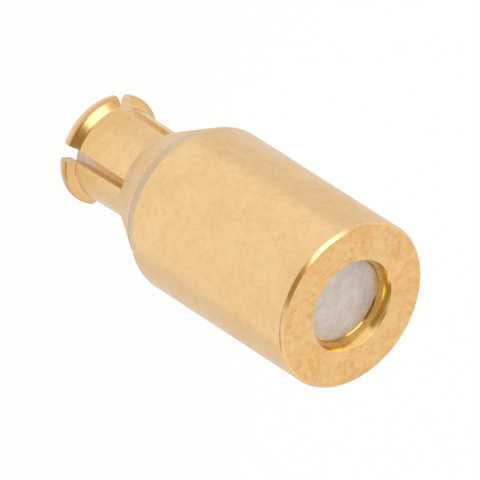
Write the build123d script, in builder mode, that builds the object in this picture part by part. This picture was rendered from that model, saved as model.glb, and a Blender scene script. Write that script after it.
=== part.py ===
from build123d import *

import os
from math import atan, cos, exp, log, radians, sin, tan

# A push-on coaxial load: a slotted snap collet on a turned gold-plated body.
# It stands on its nose. The origin is on the axis at the front of the collet, +Z runs to
# the rear face with the grey plug. All sizes are in millimetres. The angles given are in degrees.

# Whole connector
total_length = 10.9
body_radius = 2.5

# Snap collet: the lip that clicks behind the ring in the mating shroud, and its neck
lip_radius = 1.65
lip_front_round = 0.16
lip_land = 0.18
lip_back_angle = 50.0
lip_edge_round = 0.03
lip_height = 0.25
finger_flare = 0.03
finger_wall = 0.17
finger_gap = 0.05
mouth_chamfer = 0.04
neck_length = 2.26
neck_fillet = 0.15
lip_root_fillet = 0.08

# Slots that part the collet into spring fingers. They open a little towards the lip.
slot_count = 4
slot_length = 2.64
slot_root_width = 0.29
slot_tip_width = 0.40
slot_bore_overrun = 0.25

# Cone from the neck to the body, and the shoulder that rounds its corner
cone_length = 2.10
shoulder_round = 1.0
shoulder_limit = 0.95

# Solder seam between the collet's flange and the shell, a little in front of the shoulder
seam_to_corner = 0.12
seam_width = 0.41
seam_recess = 0.01

# Shell, with the length of the collet's shank that seats in its front
shell_wall = 0.50
shank_length = 1.73
bore_radius = 1.295
rear_chamfer = 0.13
recess_mouth_radius = 1.375
recess_flare_depth = 0.185

# Insulators
bead_front = 0.22
bead_front_chamfer = 0.05
rear_bead_step = 0.25
rear_bead_length = 0.70

# Centre contact
contact_front = 0.45
contact_radius = 0.36
contact_front_round = 0.06
socket_radius = 0.20
socket_depth = 1.80
socket_slot_width = 0.08
socket_slot_length = 1.50
tine_room = 0.05
collar_radius = 0.62
collar_length = 0.40
cup_radius = 0.52
cup_length = 1.80
drill_point_angle = 59.0

# Film resistor rod with its two end caps
rod_radius = 0.40
cap_wall = 0.05
cap_end_wall = 0.06
cap_length = 0.45

# Ground sleeve round the resistor: its wall at the front, and the radius its bore narrows to
sleeve_front_wall = 0.195
sleeve_throat_radius = 0.55

# Grey rear plug: it grounds the resistor and closes the bore
plug_depth = 0.47
plug_head_radius = 1.25
plug_head_length = 0.12
plug_rim_round = 0.03
plug_socket_depth = 0.46
plug_end_wall = 0.82

# Sizes that follow from the ones above. The cone's angle is in radians.
neck_tip_radius = lip_radius - lip_height
neck_root_radius = neck_tip_radius - finger_flare
finger_bore_radius = neck_root_radius - finger_wall
bead_radius = finger_bore_radius - finger_gap
cone_slope = (body_radius - neck_root_radius) / cone_length
cone_angle = atan(cone_slope)
corner_z = neck_length + cone_length
lip_back = lip_front_round + lip_land
neck_front = lip_back + lip_height / tan(radians(lip_back_angle))
finger_bore_end = slot_length + slot_bore_overrun
seam_back = corner_z - seam_to_corner
seam_front = seam_back - seam_width
shank_radius = body_radius - shell_wall
shank_end = seam_front + shank_length
rear_bead_radius = bead_radius + rear_bead_step
rear_bead_front = shank_end - rear_bead_length
bead_back = rear_bead_front - collar_length
cup_back = rear_bead_front + cup_length
cap_radius = rod_radius + cap_wall
cap_front = cup_back - cap_length
rod_front = cap_front + cap_end_wall
plug_top = total_length - plug_depth
cap_back = plug_top - plug_end_wall
rod_back = cap_back - cap_end_wall
rod_length = rod_back - rod_front
plug_front = cap_back - plug_socket_depth
sleeve_mouth_radius = bore_radius - sleeve_front_wall
plug_shoulder = plug_top - plug_head_length


def cone_radius(z):
    """Radius of the outer cone at height z."""
    return body_radius - (corner_z - z) * cone_slope


def corner(profile, radius, z):
    """The corner of a turned profile nearest to this radius and height."""
    return profile.vertices().sort_by_distance((radius, z))[0]


# The shoulder's round ends short of the shell's front edge
shoulder_tangent = shoulder_limit * seam_to_corner / cos(cone_angle)
shoulder = min(shoulder_round, shoulder_tangent / tan(cone_angle / 2))

# Collet: lip, neck, cone flange and the shank that seats in the shell, turned in one piece
with BuildPart() as collet:
    with BuildSketch(Plane.XZ) as collet_profile:
        with BuildLine():
            Polyline(
                (finger_bore_radius + mouth_chamfer, 0),
                (lip_radius, 0),
                (lip_radius, lip_back),
                (neck_tip_radius, neck_front),
                (neck_root_radius, neck_length),
                (cone_radius(seam_front), seam_front),
                (shank_radius, seam_front),
                (shank_radius, shank_end),
                (rear_bead_radius, shank_end),
                (rear_bead_radius, rear_bead_front),
                (bead_radius, rear_bead_front),
                (bead_radius, finger_bore_end),
                (finger_bore_radius, finger_bore_end),
                (finger_bore_radius, mouth_chamfer),
                close=True,
            )
        make_face()
        fillet(corner(collet_profile, lip_radius, 0), lip_front_round)
        fillet(corner(collet_profile, lip_radius, lip_back), lip_edge_round)
        fillet(corner(collet_profile, neck_tip_radius, neck_front), lip_root_fillet)
        fillet(corner(collet_profile, neck_root_radius, neck_length), neck_fillet)
    revolve(axis=Axis.Z)
    # Each slot is sawn from the front through one side of the wall
    for index in range(slot_count):
        turn = radians(360 * index / slot_count)
        slot_plane = Plane(
            origin=(0, 0, 0), x_dir=(-sin(turn), cos(turn), 0), z_dir=(cos(turn), sin(turn), 0)
        )
        with BuildSketch(slot_plane):
            with BuildLine():
                Polyline(
                    (-slot_tip_width / 2, 0),
                    (slot_tip_width / 2, 0),
                    (slot_root_width / 2, slot_length),
                    (-slot_root_width / 2, slot_length),
                    close=True,
                )
            make_face()
        extrude(amount=body_radius, mode=Mode.SUBTRACT)

# Shell: the plain round body behind the seam, bored through from end to end
with BuildPart() as shell:
    with BuildSketch(Plane.XZ) as shell_profile:
        with BuildLine():
            Polyline(
                (shank_radius, seam_back),
                (cone_radius(seam_back), seam_back),
                (body_radius, corner_z),
                (body_radius, total_length),
                (recess_mouth_radius, total_length),
                (bore_radius, total_length - recess_flare_depth),
                (bore_radius, shank_end),
                (shank_radius, shank_end),
                close=True,
            )
        make_face()
        fillet(corner(shell_profile, body_radius, corner_z), shoulder)
        chamfer(corner(shell_profile, body_radius, total_length), rear_chamfer)
    revolve(axis=Axis.Z)

# Seam ring: the band of solder that joins flange and shell, a little below the cone
with BuildPart() as seam_ring:
    with BuildSketch(Plane.XZ):
        with BuildLine():
            Polyline(
                (shank_radius, seam_front),
                (cone_radius(seam_front) - seam_recess, seam_front),
                (cone_radius(seam_back) - seam_recess, seam_back),
                (shank_radius, seam_back),
                close=True,
            )
        make_face()
    revolve(axis=Axis.Z)

# Front bead: the insulator seen through the slots. Its hole is wider round the tines.
tine_hole_end = contact_front + socket_depth
with BuildPart() as front_bead:
    with BuildSketch(Plane.XZ) as bead_profile:
        with BuildLine():
            Polyline(
                (contact_radius + tine_room, bead_front),
                (bead_radius, bead_front),
                (bead_radius, bead_back),
                (contact_radius, bead_back),
                (contact_radius, tine_hole_end),
                (contact_radius + tine_room, tine_hole_end),
                close=True,
            )
        make_face()
        chamfer(corner(bead_profile, bead_radius, bead_front), bead_front_chamfer)
    revolve(axis=Axis.Z)

# Rear bead: it holds the contact's collar and is trapped between collet and shell
with BuildPart() as rear_bead:
    with BuildSketch(Plane.XY.offset(rear_bead_front)):
        Circle(rear_bead_radius)
        Circle(cup_radius, mode=Mode.SUBTRACT)
    extrude(amount=rear_bead_length)

# Centre contact: slotted socket in front, collar between the beads, cup for the resistor
with BuildPart() as centre_contact:
    with BuildSketch(Plane.XZ) as contact_profile:
        with BuildLine():
            Polyline(
                (socket_radius, contact_front),
                (contact_radius, contact_front),
                (contact_radius, bead_back),
                (collar_radius, bead_back),
                (collar_radius, rear_bead_front),
                (cup_radius, rear_bead_front),
                (cup_radius, cup_back),
                (cap_radius, cup_back),
                (cap_radius, cap_front),
                (0, cap_front),
                (0, contact_front + socket_depth + socket_radius / tan(radians(drill_point_angle))),
                (socket_radius, contact_front + socket_depth),
                close=True,
            )
        make_face()
        fillet(corner(contact_profile, contact_radius, contact_front), contact_front_round)
    revolve(axis=Axis.Z)
    with BuildSketch(Plane.XY.offset(contact_front)):
        Rectangle(2 * body_radius, socket_slot_width)
    extrude(amount=socket_slot_length, mode=Mode.SUBTRACT)

# Resistor rod between its caps
with BuildPart() as resistor_rod:
    with BuildSketch(Plane.XY.offset(rod_front)):
        Circle(rod_radius)
    extrude(amount=rod_length)

# Front cap: a drawn cup on the rod's end, held in the contact
with BuildPart() as resistor_front_cap:
    with BuildSketch(Plane.XY.offset(cap_front)):
        Circle(cap_radius)
    extrude(amount=cap_length)
    with BuildSketch(Plane.XY.offset(rod_front)):
        Circle(rod_radius)
    extrude(amount=cap_length, mode=Mode.SUBTRACT)

# Rear cap: the same cup turned round, held in the plug
with BuildPart() as resistor_rear_cap:
    with BuildSketch(Plane.XY.offset(cap_back)):
        Circle(cap_radius)
    extrude(amount=-cap_length)
    with BuildSketch(Plane.XY.offset(rod_back)):
        Circle(rod_radius)
    extrude(amount=-cap_length, mode=Mode.SUBTRACT)

# Load sleeve: its bore narrows along the rod by an even ratio for each millimetre
taper_middle_radius = exp((log(sleeve_mouth_radius) + log(sleeve_throat_radius)) / 2)
with BuildPart() as load_sleeve:
    with BuildSketch(Plane.XZ):
        with BuildLine():
            Polyline(
                (sleeve_throat_radius, plug_front),
                (bore_radius, plug_front),
                (bore_radius, shank_end),
                (sleeve_mouth_radius, shank_end),
                (sleeve_mouth_radius, cup_back),
            )
            ThreePointArc(
                (sleeve_mouth_radius, cup_back),
                (taper_middle_radius, (cup_back + plug_front) / 2),
                (sleeve_throat_radius, plug_front),
            )
        make_face()
    revolve(axis=Axis.Z)

# Rear plug: the grey disc in the rear recess is its narrower head
with BuildPart() as rear_plug:
    with BuildSketch(Plane.XZ) as plug_profile:
        with BuildLine():
            Polyline(
                (0, plug_top),
                (plug_head_radius, plug_top),
                (plug_head_radius, plug_shoulder),
                (bore_radius, plug_shoulder),
                (bore_radius, plug_front),
                (cap_radius, plug_front),
                (cap_radius, cap_back),
                (0, cap_back),
                close=True,
            )
        make_face()
        fillet(corner(plug_profile, plug_head_radius, plug_top), plug_rim_round)
    revolve(axis=Axis.Z)

os.makedirs("parts", exist_ok=True)

collet.part.label = "collet"
export_step(collet.part, "parts/collet.step")

shell.part.label = "shell"
export_step(shell.part, "parts/shell.step")

seam_ring.part.label = "seam_ring"
export_step(seam_ring.part, "parts/seam_ring.step")

front_bead.part.label = "front_bead"
export_step(front_bead.part, "parts/front_bead.step")

rear_bead.part.label = "rear_bead"
export_step(rear_bead.part, "parts/rear_bead.step")

centre_contact.part.label = "centre_contact"
export_step(centre_contact.part, "parts/centre_contact.step")

resistor_rod.part.label = "resistor_rod"
export_step(resistor_rod.part, "parts/resistor_rod.step")

resistor_front_cap.part.label = "resistor_front_cap"
export_step(resistor_front_cap.part, "parts/resistor_front_cap.step")

resistor_rear_cap.part.label = "resistor_rear_cap"
export_step(resistor_rear_cap.part, "parts/resistor_rear_cap.step")

load_sleeve.part.label = "load_sleeve"
export_step(load_sleeve.part, "parts/load_sleeve.step")

rear_plug.part.label = "rear_plug"
export_step(rear_plug.part, "parts/rear_plug.step")
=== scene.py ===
from math import asin, cos, radians, sin

import bmesh
import bpy
from mathutils import Matrix, Vector


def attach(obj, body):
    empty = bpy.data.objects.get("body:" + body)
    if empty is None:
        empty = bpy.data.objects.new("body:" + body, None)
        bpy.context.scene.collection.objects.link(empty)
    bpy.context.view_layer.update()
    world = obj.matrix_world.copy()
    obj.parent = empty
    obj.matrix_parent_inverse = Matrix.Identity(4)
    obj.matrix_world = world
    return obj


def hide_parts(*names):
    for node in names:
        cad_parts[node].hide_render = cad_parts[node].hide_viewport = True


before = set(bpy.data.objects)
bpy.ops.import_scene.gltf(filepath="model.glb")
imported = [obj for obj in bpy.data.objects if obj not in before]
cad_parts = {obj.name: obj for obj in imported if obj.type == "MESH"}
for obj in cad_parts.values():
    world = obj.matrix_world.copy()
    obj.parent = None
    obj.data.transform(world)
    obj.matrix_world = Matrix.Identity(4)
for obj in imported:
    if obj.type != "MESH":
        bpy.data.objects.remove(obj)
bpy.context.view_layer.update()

MM = 0.001
AROUND = 256        # faces round a turned piece that shows
AROUND_INSIDE = 96  # faces round one that is sealed in
NEAR = 0.004        # a corner ring is found within this distance
SMOOTH = 28         # degrees between two faces that are still shaded as one
BEYOND = 20.0       # a height past the load's end, for a finish that starts nowhere on it


# ---- Modelling -------------------------------------------------------------------------

def edit(piece):
    """This piece alone is selected and open in edit mode."""
    bpy.ops.object.select_all(action="DESELECT")
    bpy.context.view_layer.objects.active = piece
    piece.select_set(True)
    bpy.ops.object.mode_set(mode="EDIT")
    bpy.ops.mesh.select_mode(type="EDGE")
    bpy.ops.mesh.select_all(action="DESELECT")


def turned(name, outline, around=AROUND):
    """A turned piece: a ring is drawn out along an outline of (radius, height) points.

    The outline is closed if it ends where it starts. Otherwise its end rings are filled.
    """
    bpy.ops.object.select_all(action="DESELECT")
    radius, height = outline[0]
    bpy.ops.mesh.primitive_circle_add(
        vertices=around, radius=radius, fill_type="NOTHING", location=(0, 0, height))
    piece = bpy.context.object
    piece.name = piece.data.name = name
    bpy.ops.object.transform_apply(location=True, rotation=True, scale=True)
    edit(piece)
    bpy.ops.mesh.select_all(action="SELECT")
    for next_radius, next_height in outline[1:]:
        bpy.ops.mesh.extrude_edges_move(
            TRANSFORM_OT_translate={"value": (0, 0, next_height - height)})
        grow = next_radius / radius
        bpy.ops.transform.resize(value=(grow, grow, 1), center_override=(0, 0, 0))
        radius, height = next_radius, next_height
    bpy.ops.mesh.select_all(action="SELECT")
    bpy.ops.mesh.remove_doubles(threshold=1e-4)
    bpy.ops.mesh.fill_holes(sides=0)
    bpy.ops.mesh.select_all(action="SELECT")
    bpy.ops.mesh.normals_make_consistent(inside=False)
    bpy.ops.object.mode_set(mode="OBJECT")
    return piece


def rounded(piece, corners):
    """Bevels corner rings, each given as (radius, height, reach along both faces, segments)."""
    for radius, height, reach, segments in corners:
        edit(piece)
        mesh = bmesh.from_edit_mesh(piece.data)
        for edge in mesh.edges:
            edge.select = all(
                abs(v.co.xy.length - radius) < NEAR and abs(v.co.z - height) < NEAR
                for v in edge.verts)
        bmesh.update_edit_mesh(piece.data)
        bpy.ops.mesh.bevel(offset=reach, offset_type="OFFSET", segments=segments,
                           profile=0.5, affect="EDGES", clamp_overlap=False)
        bpy.ops.object.mode_set(mode="OBJECT")


def sawn(piece, stations, reach, turns):
    """Saws a slot from the front through both walls, once for each turn, in degrees.

    The slot's width changes evenly from one (height, width) station to the next.
    """
    for turn in turns:
        height, width = stations[0]
        bpy.ops.object.select_all(action="DESELECT")
        bpy.ops.mesh.primitive_plane_add(size=1, location=(0, 0, height))
        saw = bpy.context.object
        saw.scale = (2 * reach, width, 1)
        bpy.ops.object.transform_apply(location=True, rotation=True, scale=True)
        edit(saw)
        bpy.ops.mesh.select_all(action="SELECT")
        for next_height, next_width in stations[1:]:
            bpy.ops.mesh.extrude_region_move(
                TRANSFORM_OT_translate={"value": (0, 0, next_height - height)})
            bpy.ops.transform.resize(
                value=(1, next_width / width, 1), center_override=(0, 0, next_height))
            height, width = next_height, next_width
        bpy.ops.mesh.select_all(action="SELECT")
        bpy.ops.mesh.normals_make_consistent(inside=False)
        bpy.ops.object.mode_set(mode="OBJECT")
        saw.rotation_euler.z = radians(turn)
        bpy.ops.object.select_all(action="DESELECT")
        bpy.context.view_layer.objects.active = piece
        piece.select_set(True)
        cut = piece.modifiers.new("slot", "BOOLEAN")
        cut.operation, cut.solver, cut.object = "DIFFERENCE", "EXACT", saw
        bpy.ops.object.modifier_apply(modifier=cut.name)
        bpy.data.objects.remove(saw)


def finished(piece, node_names, material, inner_material=None):
    """Scales the piece to metres, smooths its turned faces and puts it in the CAD node's place.

    The walls of its bores and slots may have a material of their own.
    """
    edit(piece)
    bpy.ops.mesh.select_all(action="SELECT")
    bpy.ops.transform.resize(value=(MM, MM, MM), center_override=(0, 0, 0))
    bpy.ops.object.mode_set(mode="OBJECT")
    bpy.ops.object.shade_smooth_by_angle(angle=radians(SMOOTH))
    piece.data.materials.clear()
    piece.data.materials.append(material)
    if inner_material:
        piece.data.materials.append(inner_material)
        edit(piece)
        bpy.ops.mesh.select_mode(type="FACE")
        mesh = bmesh.from_edit_mesh(piece.data)
        for face in mesh.faces:
            middle = face.calc_center_median()
            outward = Vector((middle.x, middle.y, 0)).normalized()
            face.select = abs(face.normal.z) < 0.6 and face.normal.dot(outward) < 0.5
        bmesh.update_edit_mesh(piece.data)
        piece.active_material_index = 1
        bpy.ops.object.material_slot_assign()
        bpy.ops.object.mode_set(mode="OBJECT")
    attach(piece, "root")
    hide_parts(*node_names)


# ---- Materials -------------------------------------------------------------------------

def linear(code):
    """A colour written as sRGB hex, such as "EEC991", in linear light."""
    parts = [int(code[i:i + 2], 16) / 255 for i in (0, 2, 4)]
    return [p / 12.92 if p <= 0.04045 else ((p + 0.055) / 1.055) ** 2.4 for p in parts] + [1.0]


def add(tree, kind, inputs=None, **settings):
    """Adds a node with its settings. An input is given a value or linked to an output."""
    made = tree.nodes.new(kind)
    for name, value in settings.items():
        setattr(made, name, value)
    for key, value in (inputs or {}).items():
        if isinstance(value, bpy.types.NodeSocket):
            tree.links.new(value, made.inputs[key])
        else:
            made.inputs[key].default_value = value
    return made


def new_material(name, **surface):
    """A material with its shader's constant sockets set. Returns it with its tree, shader and
    position in millimetres."""
    material = bpy.data.materials.new(name)
    material.use_nodes = True
    tree = material.node_tree
    shader = tree.nodes["Principled BSDF"]
    for socket, value in surface.items():
        shader.inputs[socket.replace("_", " ")].default_value = value
    place = add(tree, "ShaderNodeTexCoord")
    position = add(tree, "ShaderNodeVectorMath",
                   {0: place.outputs["Object"], 3: 1 / MM}, operation="SCALE")
    return material, tree, shader, position.outputs[0]


def by_height(tree, height, tone, zones):
    """A tone that changes along the axis: each zone (from height, to height, colour) takes over
    from the one before it between its two heights."""
    for low, high, colour in zones:
        share = add(tree, "ShaderNodeMapRange",
                    {"Value": height, "From Min": low, "From Max": high},
                    interpolation_type="SMOOTHSTEP")
        tone = add(tree, "ShaderNodeMix", {"Factor": share.outputs[0], 6: tone, 7: linear(colour)},
                   data_type="RGBA").outputs[2]
    return tone


def gold_plate(name, colour, roughness, zones=(), matt_from=BEYOND, faced_from=BEYOND):
    """Gold plate over a surface that was turned and then tumbled.

    It gives the eye a warm metal with soft reflections. Its tone drifts in patches and is a
    deeper, redder gold where the plate is thin. From the height matt_from on it is scrubbed
    matt, and from faced_from on it is a faced end with a coarser grain and stronger patches.
    """
    material, tree, shader, position = new_material(name, Metallic=1.0)
    split = add(tree, "ShaderNodeSeparateXYZ", {0: position})
    height = split.outputs[2]
    flat = add(tree, "ShaderNodeCombineXYZ", {0: split.outputs[0], 1: split.outputs[1]})
    radius = add(tree, "ShaderNodeVectorMath", {0: flat.outputs[0]}, operation="LENGTH")
    # The tool's path: along the barrel it runs with the height, across the end with the radius.
    # Its grooves are nearly polished away. Real ones are 0.03 to 0.05 mm apart, too fine to
    # show, so they are drawn about 0.1 mm apart and uneven.
    path = add(tree, "ShaderNodeMath", {0: height, 1: radius.outputs["Value"]},
               operation="SUBTRACT")
    grooves = add(tree, "ShaderNodeTexNoise", {"W": path.outputs[0], "Scale": 9.0, "Detail": 2.0},
                  noise_dimensions="1D")
    # The nickel's grain under the gold, drawn 0.2 mm across, and the plate's patches of 1 mm
    grain = add(tree, "ShaderNodeTexNoise", {"Vector": position, "Scale": 5.0, "Detail": 2.0})
    patches = add(tree, "ShaderNodeTexNoise", {"Vector": position, "Scale": 1.0, "Detail": 3.0,
                                               "Roughness": 0.6})
    faced = add(tree, "ShaderNodeMapRange",
                {"Value": height, "From Min": faced_from, "From Max": faced_from + 0.02})
    # Tumbling marks, 0.07 mm across
    grit = add(tree, "ShaderNodeTexNoise", {"Vector": position, "Scale": 14.0, "Detail": 1.0})
    relief = add(tree, "ShaderNodeMath",
                 {0: grooves.outputs["Fac"], 1: 0.35, 2: grain.outputs["Fac"]},
                 operation="MULTIPLY_ADD")
    coarse = add(tree, "ShaderNodeMath",
                 {0: grit.outputs["Fac"], 1: faced.outputs[0], 2: relief.outputs[0]},
                 operation="MULTIPLY_ADD")
    # All this relief is a few micrometres deep
    bump = add(tree, "ShaderNodeBump",
               {"Height": coarse.outputs[0], "Strength": 0.35, "Distance": 0.0035 * MM})
    tree.links.new(bump.outputs[0], shader.inputs["Normal"])
    matt = add(tree, "ShaderNodeMapRange",
               {"Value": height, "From Min": matt_from, "From Max": matt_from + 0.25,
                "To Max": 0.27})
    rough = add(tree, "ShaderNodeMapRange",
                {"Value": patches.outputs["Fac"], "From Min": 0.3, "From Max": 0.7,
                 "To Min": roughness - 0.03, "To Max": roughness + 0.03})
    finish = add(tree, "ShaderNodeMath", {0: rough.outputs[0], 1: matt.outputs[0]},
                 operation="ADD")
    tree.links.new(finish.outputs[0], shader.inputs["Roughness"])
    plate = by_height(tree, height, linear(colour), zones)
    # Thin places: grain, grit and patches together, stronger on the faced end
    speckle = add(tree, "ShaderNodeMath",
                  {0: grit.outputs["Fac"], 1: 0.5, 2: grain.outputs["Fac"]},
                  operation="MULTIPLY_ADD")
    thinness = add(tree, "ShaderNodeMath",
                   {0: speckle.outputs[0], 1: 0.45, 2: patches.outputs["Fac"]},
                   operation="MULTIPLY_ADD")
    ringed = add(tree, "ShaderNodeMath",
                 {0: grooves.outputs["Fac"], 1: 0.12, 2: thinness.outputs[0]},
                 operation="MULTIPLY_ADD")
    thin = add(tree, "ShaderNodeMapRange",
               {"Value": ringed.outputs[0], "From Min": 0.74, "From Max": 1.06,
                "To Min": 0.0, "To Max": 1.0})
    amount = add(tree, "ShaderNodeMath", {0: faced.outputs[0], 1: 0.36, 2: 0.16},
                 operation="MULTIPLY_ADD")
    share = add(tree, "ShaderNodeMath", {0: thin.outputs[0], 1: amount.outputs[0]},
                operation="MULTIPLY")
    toned = add(tree, "ShaderNodeMix",
                {"Factor": share.outputs[0], 6: plate, 7: linear("E9A858")}, data_type="RGBA")
    # Pits between the grains, deeper in colour and stronger on the faced end
    pitted = add(tree, "ShaderNodeMapRange",
                 {"Value": speckle.outputs[0], "From Min": 0.68, "From Max": 1.0,
                  "To Min": 0.0, "To Max": 1.0})
    depth = add(tree, "ShaderNodeMath", {0: faced.outputs[0], 1: 0.15, 2: 0.1},
                operation="MULTIPLY_ADD")
    pits = add(tree, "ShaderNodeMath", {0: pitted.outputs[0], 1: depth.outputs[0]},
               operation="MULTIPLY")
    dotted = add(tree, "ShaderNodeMix",
                 {"Factor": pits.outputs[0], 6: toned.outputs[2], 7: linear("B4884C")},
                 data_type="RGBA")
    # A few pin-point stains, 0.05 mm across
    dots = add(tree, "ShaderNodeTexVoronoi", {"Vector": position, "Scale": 2.2, "Randomness": 1.0})
    stain = add(tree, "ShaderNodeMapRange",
                {"Value": dots.outputs["Distance"], "From Min": 0.03, "From Max": 0.09,
                 "To Min": 0.3, "To Max": 0.0})
    stained = add(tree, "ShaderNodeMix",
                  {"Factor": stain.outputs[0], 6: dotted.outputs[2], 7: linear("B98A45")},
                  data_type="RGBA")
    tree.links.new(stained.outputs[2], shader.inputs["Base Color"])
    return material


def speckled(name, colour, deep_colour, grain_scale, relief, zones=(), **surface):
    """A plain material in two close tones, for PTFE, ceramic, tin plate and bare brass.

    The soft blotches are 1 / grain_scale millimetres across, and the grain is a quarter of
    that, coarser than the real one, which wouldn't show. The relief is in millimetres.
    """
    material, tree, shader, position = new_material(name, **surface)
    height = add(tree, "ShaderNodeSeparateXYZ", {0: position}).outputs[2]
    blotches = add(tree, "ShaderNodeTexNoise",
                   {"Vector": position, "Scale": grain_scale, "Detail": 3.0, "Roughness": 0.6})
    spread = add(tree, "ShaderNodeMapRange",
                 {"Value": blotches.outputs["Fac"], "From Min": 0.35, "From Max": 0.65})
    tone = add(tree, "ShaderNodeMix",
               {"Factor": spread.outputs[0], 6: linear(deep_colour), 7: linear(colour)},
               data_type="RGBA")
    tree.links.new(by_height(tree, height, tone.outputs[2], zones), shader.inputs["Base Color"])
    grit = add(tree, "ShaderNodeTexNoise",
               {"Vector": position, "Scale": grain_scale * 4, "Detail": 1.0})
    bump = add(tree, "ShaderNodeBump",
               {"Height": grit.outputs["Fac"], "Strength": 0.5, "Distance": relief * MM})
    tree.links.new(bump.outputs[0], shader.inputs["Normal"])
    return material


def soft_solder(name, colour, deep_colour, edge_colour, front, back):
    """Solder that ran round a joint and froze there, from front to back in height.

    It gives the eye a dull, pale band with blotches 0.3 mm across, whose ragged edges have
    wetted the gold beside it.
    """
    material, tree, shader, position = new_material(name, Metallic=0.6, Roughness=0.45)
    height = add(tree, "ShaderNodeSeparateXYZ", {0: position}).outputs[2]
    blotches = add(tree, "ShaderNodeTexNoise", {"Vector": position, "Scale": 3.0, "Detail": 3.0})
    tone = add(tree, "ShaderNodeMix",
               {"Factor": add(tree, "ShaderNodeMapRange",
                              {"Value": blotches.outputs["Fac"], "From Min": 0.35,
                               "From Max": 0.65}).outputs[0],
                6: linear(deep_colour), 7: linear(colour)}, data_type="RGBA")
    middle = add(tree, "ShaderNodeMath", {0: height, 1: (front + back) / 2},
                 operation="SUBTRACT")
    off = add(tree, "ShaderNodeMath", {0: middle.outputs[0]}, operation="ABSOLUTE")
    ragged = add(tree, "ShaderNodeMath",
                 {0: blotches.outputs["Fac"], 1: 0.16, 2: off.outputs[0]},
                 operation="MULTIPLY_ADD")
    half = (back - front) / 2
    edge = add(tree, "ShaderNodeMapRange",
               {"Value": ragged.outputs[0], "From Min": half - 0.03, "From Max": half + 0.07},
               interpolation_type="SMOOTHSTEP")
    toned = add(tree, "ShaderNodeMix",
                {"Factor": edge.outputs[0], 6: tone.outputs[2], 7: linear(edge_colour)},
                data_type="RGBA")
    tree.links.new(toned.outputs[2], shader.inputs["Base Color"])
    bump = add(tree, "ShaderNodeBump",
               {"Height": blotches.outputs["Fac"], "Strength": 0.5, "Distance": 0.01 * MM})
    tree.links.new(bump.outputs[0], shader.inputs["Normal"])
    return material


def blasted(name, colour, deep_colour, **surface):
    """Metal blasted with fine grit: a matt face that mirrors nothing.

    Soft grey blotches are 0.6 mm across. The pits of real grit are about 0.03 mm, too fine to
    show, so the grain is drawn at 0.1 mm. A few dark specks are 0.05 mm across.
    """
    material, tree, shader, position = new_material(name, **surface)
    blotches = add(tree, "ShaderNodeTexNoise",
                   {"Vector": position, "Scale": 1.6, "Detail": 4.0, "Roughness": 0.7})
    tone = add(tree, "ShaderNodeMix",
               {"Factor": add(tree, "ShaderNodeMapRange",
                              {"Value": blotches.outputs["Fac"], "From Min": 0.3,
                               "From Max": 0.7}).outputs[0],
                6: linear(deep_colour), 7: linear(colour)}, data_type="RGBA")
    grain = add(tree, "ShaderNodeTexNoise", {"Vector": position, "Scale": 9.0, "Detail": 2.0})
    dots = add(tree, "ShaderNodeTexVoronoi", {"Vector": position, "Scale": 5.0, "Randomness": 1.0})
    speck = add(tree, "ShaderNodeMapRange",
                {"Value": dots.outputs["Distance"], "From Min": 0.04, "From Max": 0.14,
                 "To Min": 0.5, "To Max": 0.0})
    specked = add(tree, "ShaderNodeMix",
                  {"Factor": speck.outputs[0], 6: tone.outputs[2], 7: linear("8F857C")},
                  data_type="RGBA")
    tree.links.new(specked.outputs[2], shader.inputs["Base Color"])
    bump = add(tree, "ShaderNodeBump",
               {"Height": grain.outputs["Fac"], "Strength": 1.0, "Distance": 0.03 * MM})
    tree.links.new(bump.outputs[0], shader.inputs["Normal"])
    return material


# The barrel: brass, turned, tumbled and plated. It looks satin, with broad soft bands of light.
# Its rear end was faced, so that it is a little deeper in colour, with a livelier grain.
body_gold = gold_plate("Gold plate on turned brass", "F5D09A", 0.25,
                       zones=[(10.87, 10.9, "EDC489")], faced_from=10.87)
# The collet: spring copper alloy under the same plate. The lip's deeper gold is painted shade,
# and its pale front edge is painted light. The neck is a little paler. The cone is scrubbed matt,
# and its pale tone is painted light.
spring_gold = gold_plate("Gold plate on spring copper", "F8D092", 0.25,
                         zones=[(0.55, 0.45, "E8BC80"), (0.3, 0.2, "FDDDB2"),
                                (1.1, 1.8, "FAD5A0"), (2.5, 2.7, "FFE6BC")],
                         matt_from=2.4)
# The slots' walls: the saw left them rough, so that they mirror nothing. Their pale gold, paler
# still from about 1 mm behind the tips, is painted light against the shade in the slots.
sawn_gold = gold_plate("Gold plate on sawn walls", "FFE6C0", 0.5, zones=[(0.8, 1.4, "FFF2CC")])
# The bored recess: cut with a fine tool and smoother than the barrel, so it mirrors its own walls.
# Its deeper, more orange gold is painted shade.
recess_gold = gold_plate("Gold plate in the recess", "F8D282", 0.2)
# The staked edge: rubbed down by the punch and shinier than the wall above it. Its dark gold is
# painted shade, for the shade in the gap round the plug.
corner_gold = gold_plate("Gold plate in the corner", "BC9054", 0.16)
# The centre contact: a polished pin under thicker gold, bright and a little redder
contact_gold = gold_plate("Gold plate on contact", "E8BE7C", 0.2)
# The seam: soft solder, pale and dull beside the gold. The grey starts 0.04 mm behind the
# piece's front edge, where the gold shows through it.
solder = soft_solder("Soft solder", "E8D5BC", "DEC8AA", "F1D0A2", 3.87, 4.29)
# The front bead: turned PTFE, white and waxy. Deeper in the slots it takes on the warm light
# that the gold throws on it, and that is drawn in its colour.
ptfe = speckled("PTFE", "FFFAF4", "FFF4EA", 2.0, 0.001,
                zones=[(0.5, 1.4, "FFD8A6"), (1.3, 2.3, "FCC888")], Roughness=0.4, IOR=1.38)
# The rear bead: the same PTFE out of the light, as a slightly darker copy with that shade painted
# in
inner_ptfe = speckled("PTFE inside", "F4F0EA", "EBE5DD", 2.0, 0.001, Roughness=0.4, IOR=1.38)
# The resistor's rod: fired alumina, a dense white ceramic with a faint gloss
alumina = speckled("Fired alumina", "ECE9E2", "E2DED4", 4.0, 0.001, Roughness=0.35, IOR=1.77)
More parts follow.
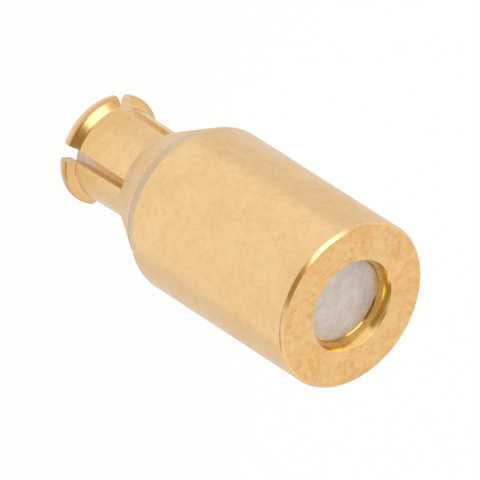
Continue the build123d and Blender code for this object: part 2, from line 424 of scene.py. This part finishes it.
# The rod's end caps: drawn and tin-plated, a soft bright grey
tin = speckled("Tin plate", "C9C9C8", "B9B9B8", 4.0, 0.001, Metallic=1.0, Roughness=0.3)
# The ground sleeve: bare brass as it left the lathe, a plain yellow metal
brass = speckled("Turned brass", "D9B56B", "C9A45C", 3.0, 0.001, Metallic=1.0, Roughness=0.35)
# The plug's head: nickel silver, blasted, so it is an even, warm grey with a mottled grain
grey = blasted("Blasted nickel silver", "D9D0CA", "BEB5AD", Metallic=0.35, Roughness=0.58)


# ---- Pieces ----------------------------------------------------------------------------

# Radii and heights, in millimetres from the finger tips
BODY_R = 2.5
TOP = 10.9
CHAMFER = 0.1                                # at the rear, along both faces
LIP_R, LIP_BACK = 1.65, 0.34
NECK_R, NECK_TIP_R, NECK_TIP = 1.37, 1.40, 0.53
CONE_START, CORNER = 2.26, 4.36              # the cone's line meets the neck's and the barrel's
CONE_SLOPE = (BODY_R - NECK_R) / (CORNER - CONE_START)
SHOULDER = 2.66                              # a small shoulder cuts off the cone's thin end,
NECK_ROOT = SHOULDER - 0.06                  # and the neck and its slots end under it
FINGER_BORE_R, FINGER_BORE_END = 1.2, 2.89
BEAD_FRONT, BEAD_R, BEAD_HOLE_R = 0.22, 1.15, 0.41
SEAM_FRONT, SEAM_BACK, SEAM_DEPTH = 3.83, 4.24, 0.006
SHANK_R, SHANK_END = 2.0, 5.56
BORE_R, MOUTH_R, FLARE = 1.27, 1.388, 0.232  # the recess, and how deep its flare runs
REAR_BEAD_R = 1.4
CONTACT_R, SOCKET_R, CONTACT_FRONT = 0.36, 0.2, 0.45
COLLAR_R, COLLAR_FRONT, COLLAR_BACK = 0.62, 4.46, 4.86
CUP_R, CUP_BACK = 0.52, 6.66
ROD_R, ROD_FRONT, ROD_BACK = 0.4, 6.27, 9.55
CAP_R, CAP_FRONT, CAP_BACK = 0.45, 6.21, 9.61
PLUG_FRONT, PLUG_SHOULDER, PLUG_TOP, PLUG_HEAD_R = 9.15, 10.31, 10.42, 1.25
SLEEVE_MOUTH_R, SLEEVE_THROAT_R, TAPER_STEPS = 1.1, 0.55, 12


def cone_r(height):
    """Radius of the outer cone at this height."""
    return BODY_R - (CORNER - height) * CONE_SLOPE


shell = turned("shell_turned", [
    (cone_r(SEAM_BACK), SEAM_BACK), (BODY_R, CORNER), (BODY_R, TOP - CHAMFER),
    (BODY_R - CHAMFER, TOP), (MOUTH_R, TOP), (BORE_R, TOP - FLARE), (BORE_R, SHANK_END),
    (SHANK_R, SHANK_END), (SHANK_R, SEAM_BACK), (cone_r(SEAM_BACK), SEAM_BACK)])
rounded(shell, [
    (BODY_R, CORNER, 0.13, 8), (BORE_R, TOP - FLARE, 0.015, 3), (MOUTH_R, TOP, 0.01, 2),
    (BODY_R, TOP - CHAMFER, 0.012, 3), (BODY_R - CHAMFER, TOP, 0.012, 3)])
finished(shell, ["shell"], body_gold, recess_gold)

collet = turned("collet_turned", [
    (1.24, 0), (LIP_R, 0), (LIP_R, LIP_BACK), (NECK_TIP_R, NECK_TIP), (NECK_R, NECK_ROOT),
    (cone_r(SHOULDER), SHOULDER), (cone_r(SEAM_FRONT), SEAM_FRONT), (SHANK_R, SEAM_FRONT),
    (SHANK_R, SHANK_END), (REAR_BEAD_R, SHANK_END), (REAR_BEAD_R, COLLAR_BACK),
    (BEAD_R, COLLAR_BACK), (BEAD_R, FINGER_BORE_END), (FINGER_BORE_R, FINGER_BORE_END),
    (FINGER_BORE_R, 0.04), (1.24, 0)])
rounded(collet, [
    (LIP_R, 0, 0.22, 10), (LIP_R, LIP_BACK, 0.06, 6), (NECK_TIP_R, NECK_TIP, 0.05, 5),
    (NECK_R, NECK_ROOT, 0.03, 3), (cone_r(SHOULDER), SHOULDER, 0.07, 6)])
# The slots are wide through the lip and narrow on the neck
sawn(collet, [(-0.2, 0.53), (LIP_BACK, 0.48), (0.55, 0.37), (NECK_ROOT, 0.29)], BODY_R, (0, 90))
finished(collet, ["collet"], spring_gold, sawn_gold)

# The solder fills the joint almost flush with the cone
band = [SEAM_FRONT + (SEAM_BACK - SEAM_FRONT) * step / 8 for step in range(9)]
seam = turned("seam_fillet", [
    (SHANK_R, SEAM_FRONT), *[(cone_r(z) - SEAM_DEPTH, z) for z in band], (SHANK_R, SEAM_BACK),
    (SHANK_R, SEAM_FRONT)])
finished(seam, ["seam_ring"], solder)

front_bead = turned("front_bead_turned", [
    (BEAD_HOLE_R, BEAD_FRONT), (1.17, BEAD_FRONT), (1.17, 2.8), (BEAD_R, 2.85),
    (BEAD_R, COLLAR_FRONT), (CONTACT_R, COLLAR_FRONT), (CONTACT_R, 2.25), (BEAD_HOLE_R, 2.25),
    (BEAD_HOLE_R, BEAD_FRONT)])
rounded(front_bead, [(1.17, BEAD_FRONT, 0.03, 3)])
finished(front_bead, ["front_bead"], ptfe)

contact = turned("contact_turned", [
    (SOCKET_R, CONTACT_FRONT), (CONTACT_R, CONTACT_FRONT), (CONTACT_R, COLLAR_FRONT),
    (COLLAR_R, COLLAR_FRONT), (COLLAR_R, COLLAR_BACK), (CUP_R, COLLAR_BACK), (CUP_R, CUP_BACK),
    (CAP_R, CUP_BACK), (CAP_R, CAP_FRONT), (0.005, CAP_FRONT), (0.005, 2.37), (SOCKET_R, 2.25),
    (SOCKET_R, CONTACT_FRONT)])
rounded(contact, [
    (CONTACT_R, CONTACT_FRONT, 0.06, 5), (SOCKET_R, CONTACT_FRONT, 0.02, 3)])
# One slot parts the socket into two tines
sawn(contact, [(0.25, 0.08), (1.95, 0.08)], 0.6, (0,))
finished(contact, ["centre_contact"], contact_gold)

plug = turned("plug_turned", [
    (CAP_R, CAP_BACK), (CAP_R, PLUG_FRONT), (BORE_R, PLUG_FRONT), (BORE_R, PLUG_SHOULDER),
    (PLUG_HEAD_R, PLUG_SHOULDER), (PLUG_HEAD_R, PLUG_TOP)])
rounded(plug, [(PLUG_HEAD_R, PLUG_TOP, 0.02, 4)])
finished(plug, ["rear_plug"], grey)

# A thin edge of the bore, staked over the plug and a little more on one side than on the other.
# It catches the light as a narrow crescent.
STAKED_R, STAKED_INNER_R, STAKED_FOOT = 1.268, 1.226, 10.36
STAKED_TILT = (("X", -0.018), ("Y", 0.023))  # in radians
staked = turned("staked_edge", [
    (STAKED_R, STAKED_FOOT), (STAKED_R, 10.43), (STAKED_INNER_R, 10.393),
    (STAKED_INNER_R, STAKED_FOOT), (STAKED_R, STAKED_FOOT)])
edit(staked)
bpy.ops.mesh.select_all(action="SELECT")
for axis, tilt in STAKED_TILT:
    bpy.ops.transform.rotate(value=tilt, orient_axis=axis, orient_type="GLOBAL",
                             center_override=(0, 0, 10.39))
bpy.ops.object.mode_set(mode="OBJECT")
# Its dark gold is painted shade
finished(staked, ["shell"], corner_gold)

rear_bead = turned("rear_bead_turned", [
    (CUP_R, COLLAR_BACK), (REAR_BEAD_R, COLLAR_BACK), (REAR_BEAD_R, SHANK_END),
    (CUP_R, SHANK_END), (CUP_R, COLLAR_BACK)], AROUND_INSIDE)
finished(rear_bead, ["rear_bead"], inner_ptfe)

rod = turned("rod_fired", [(ROD_R, ROD_FRONT), (ROD_R, ROD_BACK)], AROUND_INSIDE)
finished(rod, ["resistor_rod"], alumina)

for place, open_end, closed_end, wall_end in (
        ("front", CUP_BACK, CAP_FRONT, ROD_FRONT), ("rear", 9.16, CAP_BACK, ROD_BACK)):
    cap = turned(f"cap_{place}_drawn", [
        (ROD_R, wall_end), (ROD_R, open_end), (CAP_R, open_end), (CAP_R, closed_end)],
        AROUND_INSIDE)
    rounded(cap, [(CAP_R, closed_end, 0.03, 3)])
    finished(cap, [f"resistor_{place}_cap"], tin)

# The sleeve's bore narrows evenly, by the same share at each step, from the cup to the plug
taper = [(SLEEVE_MOUTH_R * (SLEEVE_THROAT_R / SLEEVE_MOUTH_R) ** (step / TAPER_STEPS),
          CUP_BACK + (PLUG_FRONT - CUP_BACK) * step / TAPER_STEPS)
         for step in range(TAPER_STEPS + 1)]
sleeve = turned("sleeve_turned", [
    (BORE_R, PLUG_FRONT), (BORE_R, SHANK_END), (SLEEVE_MOUTH_R, SHANK_END), *taper,
    (BORE_R, PLUG_FRONT)], AROUND_INSIDE)
finished(sleeve, ["load_sleeve"], brass)


# ---- Floor, light and camera -----------------------------------------------------------

# A sheet of white paper on a table. The camera sees it plain white, and in the gold it is a
# little dimmer.
FLOOR_SIZE = 0.6
AWAY = (0.259, 0.966, 0)         # along the floor, away from the camera
NEAR_SIDE = radians(285)         # towards the painted dark patch far out on the near side
FOOT = (0.6 * MM, -1.0 * MM, 0)  # the centre of a small painted shadow, off the axis
bpy.ops.object.select_all(action="DESELECT")
bpy.ops.mesh.primitive_plane_add(size=FLOOR_SIZE, location=(0, 0, 0))
floor = bpy.context.object
floor.name = "floor"
paper = bpy.data.materials.new("White paper")
paper.use_nodes = True
tree = paper.node_tree
tree.nodes.remove(tree.nodes["Principled BSDF"])
ray = add(tree, "ShaderNodeLightPath")
# How much of the paper glows of its own, for each kind of ray. The rest is lit, with shadows.
mirrored = add(tree, "ShaderNodeMath",
               {0: ray.outputs["Is Glossy Ray"], 1: ray.outputs["Is Transmission Ray"]},
               operation="MAXIMUM")
bounced = add(tree, "ShaderNodeMath",
              {0: ray.outputs["Is Diffuse Ray"], 1: 0.6}, operation="MULTIPLY")
shares = add(tree, "ShaderNodeMath",
             {0: mirrored.outputs[0], 1: 0.9, 2: bounced.outputs[0]}, operation="MULTIPLY_ADD")
white = add(tree, "ShaderNodeMath",
            {0: ray.outputs["Is Camera Ray"], 1: 0.95, 2: shares.outputs[0]},
            operation="MULTIPLY_ADD")
# In reflections the paper's glow carries painted shade: a little dimmer away from the camera, a
# painted dark patch far out on the near side, and a small painted shadow round where the fingers
# stand
spot = add(tree, "ShaderNodeTexCoord")
away = add(tree, "ShaderNodeVectorMath",
           {0: spot.outputs["Object"], 1: AWAY}, operation="DOT_PRODUCT")
fall = add(tree, "ShaderNodeMapRange",
           {"Value": away.outputs["Value"], "From Min": -3.4 * MM, "From Max": -1.2 * MM,
            "To Min": 1.0, "To Max": 0.84}, interpolation_type="SMOOTHSTEP")
near_side = add(tree, "ShaderNodeVectorMath",
                {0: spot.outputs["Object"], 1: (cos(NEAR_SIDE), sin(NEAR_SIDE), 0)},
                operation="DOT_PRODUCT")
reach = add(tree, "ShaderNodeVectorMath", {0: spot.outputs["Object"]}, operation="LENGTH")
sector = add(tree, "ShaderNodeMath",
             {0: near_side.outputs["Value"], 1: reach.outputs["Value"]}, operation="DIVIDE")
turned_to = add(tree, "ShaderNodeMapRange",
                {"Value": sector.outputs[0], "From Min": cos(radians(60)),
                 "From Max": cos(radians(48))}, interpolation_type="SMOOTHSTEP")
beyond = add(tree, "ShaderNodeMapRange",
             {"Value": reach.outputs["Value"], "From Min": 28 * MM, "From Max": 50 * MM},
             interpolation_type="SMOOTHSTEP")
dark = add(tree, "ShaderNodeMath", {0: turned_to.outputs[0], 1: beyond.outputs[0]},
           operation="MULTIPLY")
# The painted dark patch, seen only in reflections
shade = add(tree, "ShaderNodeMix",
            {"Factor": dark.outputs[0], 6: linear("FFFFFF"), 7: linear("8C7440")},
            data_type="RGBA")
foot = add(tree, "ShaderNodeVectorMath",
           {0: spot.outputs["Object"], 1: FOOT}, operation="DISTANCE")
painted_foot_shadow = add(tree, "ShaderNodeMapRange",
            {"Value": foot.outputs["Value"], "From Min": 0.5 * MM, "From Max": 1.2 * MM,
             "To Min": 0.85, "To Max": 1.0}, interpolation_type="SMOOTHSTEP")
dimmed = add(tree, "ShaderNodeMath", {0: fall.outputs[0], 1: painted_foot_shadow.outputs[0]},
             operation="MULTIPLY")
level = add(tree, "ShaderNodeMix",
            {"Factor": ray.outputs["Is Camera Ray"], 2: dimmed.outputs[0], 3: 1.0},
            data_type="FLOAT")
paint = add(tree, "ShaderNodeMix",
            {"Factor": ray.outputs["Is Camera Ray"], 6: shade.outputs[2], 7: linear("FFFFFF")},
            data_type="RGBA")
lit = add(tree, "ShaderNodeBsdfDiffuse", {"Color": linear("F4F3F1")})
glow = add(tree, "ShaderNodeEmission", {"Color": paint.outputs[2], "Strength": level.outputs[0]})
both = add(tree, "ShaderNodeMixShader",
           {0: white.outputs[0], 1: lit.outputs[0], 2: glow.outputs[0]})
tree.links.new(both.outputs[0], tree.nodes["Material Output"].inputs["Surface"])
floor.data.materials.append(paper)

# The view of the photograph: from behind and above, the axis falling to the right
VIEW_AZIMUTH, VIEW_HEIGHT, ROLL = radians(242.7), asin(0.661), radians(32.86)
DISTANCE = 400 * MM
SENSOR = 36                                   # the camera's sensor, in its own millimetres
PIXELS, PIXELS_PER_MM = 480, 36.32
AIM_HEIGHT, AIM_X, AIM_Y = 7.0, 262.5, 248.1  # this height on the axis is at this pixel
back = Vector((cos(VIEW_HEIGHT) * cos(VIEW_AZIMUTH), cos(VIEW_HEIGHT) * sin(VIEW_AZIMUTH),
               sin(VIEW_HEIGHT)))
along = (Vector((0, 0, 1)) - back * back.z).normalized()
across = back.cross(along)
right = along * cos(ROLL) + across * sin(ROLL)
up = across * cos(ROLL) - along * sin(ROLL)
half = PIXELS / 2
aim = (Vector((0, 0, AIM_HEIGHT)) - right * ((AIM_X - half) / PIXELS_PER_MM)
       + up * ((AIM_Y - half) / PIXELS_PER_MM)) * MM
camera_data = bpy.data.cameras.new("camera")
camera_data.sensor_width = SENSOR
camera_data.lens = SENSOR * DISTANCE / (PIXELS / PIXELS_PER_MM * MM)
camera_data.clip_start, camera_data.clip_end = 0.01, 2.0
camera = bpy.data.objects.new("camera", camera_data)
bpy.context.scene.collection.objects.link(camera)
turn = Matrix((right, up, back)).transposed().to_4x4()
camera.matrix_world = Matrix.Translation(aim + back * DISTANCE) @ turn
bpy.context.scene.camera = camera

# Room light: an even white room with three dim warm places that the camera itself doesn't see
world = bpy.data.worlds.new("room")
bpy.context.scene.world = world
world.use_nodes = True
tree = world.node_tree
sky = add(tree, "ShaderNodeTexCoord")
room = linear("FFFFFF")
# Dim places, each with its direction, its reach in degrees, the height of the direction above
# which it ends, its strength and its colour: one near the camera, a low wide one, and a weak one
# beside the softbox. A top of 2.0 is no limit.
EDGE, TOP_EDGE = 6, 0.05     # how soft their edges are, in degrees and in height
for way, reach, top, amount, colour in (
        ((-0.14, -0.66, 0.73), 24, 2.0, 1.0, "A08A5C"),
        ((0.17, -0.98, 0.1), 55, 0.38, 1.0, "9C8650"),
        ((-0.70, 0.40, 0.60), 17, 2.0, 0.35, "A08A5C")):
    toward = add(tree, "ShaderNodeVectorMath",
                 {0: sky.outputs["Generated"], 1: Vector(way).normalized()},
                 operation="DOT_PRODUCT")
    patch = add(tree, "ShaderNodeMapRange",
                {"Value": toward.outputs["Value"], "From Min": cos(radians(reach + EDGE)),
                 "From Max": cos(radians(reach - EDGE)), "To Max": amount},
                interpolation_type="SMOOTHSTEP")
    height = add(tree, "ShaderNodeSeparateXYZ", {0: sky.outputs["Generated"]})
    under = add(tree, "ShaderNodeMapRange",
                {"Value": height.outputs[2], "From Min": top + TOP_EDGE,
                 "From Max": top - TOP_EDGE},
                interpolation_type="SMOOTHSTEP")
    place = add(tree, "ShaderNodeMath", {0: patch.outputs[0], 1: under.outputs[0]},
                operation="MULTIPLY")
    room = add(tree, "ShaderNodeMix",
               {"Factor": place.outputs[0], 6: room, 7: linear(colour)},
               data_type="RGBA").outputs[2]
ray = add(tree, "ShaderNodeLightPath")
seen = add(tree, "ShaderNodeMix",
           {"Factor": ray.outputs["Is Camera Ray"], 6: room, 7: linear("FFFFFF")},
           data_type="RGBA")
tree.links.new(seen.outputs[2], tree.nodes["Background"].inputs["Color"])
tree.nodes["Background"].inputs["Strength"].default_value = 1.0

# A softbox high on the left of the picture
SOFTBOX_WAY = Vector((-0.60, -0.12, 0.79)).normalized()
SOFTBOX_DISTANCE, SOFTBOX_WATTS = 0.25, 0.155
softbox_data = bpy.data.lights.new("softbox", "AREA")
softbox_data.shape, softbox_data.size, softbox_data.size_y = "RECTANGLE", 0.15, 0.16
softbox_data.energy = SOFTBOX_WATTS
softbox = bpy.data.objects.new("softbox", softbox_data)
bpy.context.scene.collection.objects.link(softbox)
softbox.location = SOFTBOX_WAY * SOFTBOX_DISTANCE
softbox.rotation_mode = "QUATERNION"
softbox.rotation_quaternion = SOFTBOX_WAY.to_track_quat("Z", "Y")
softbox.visible_camera = False

bpy.context.scene.view_settings.view_transform = "Standard"
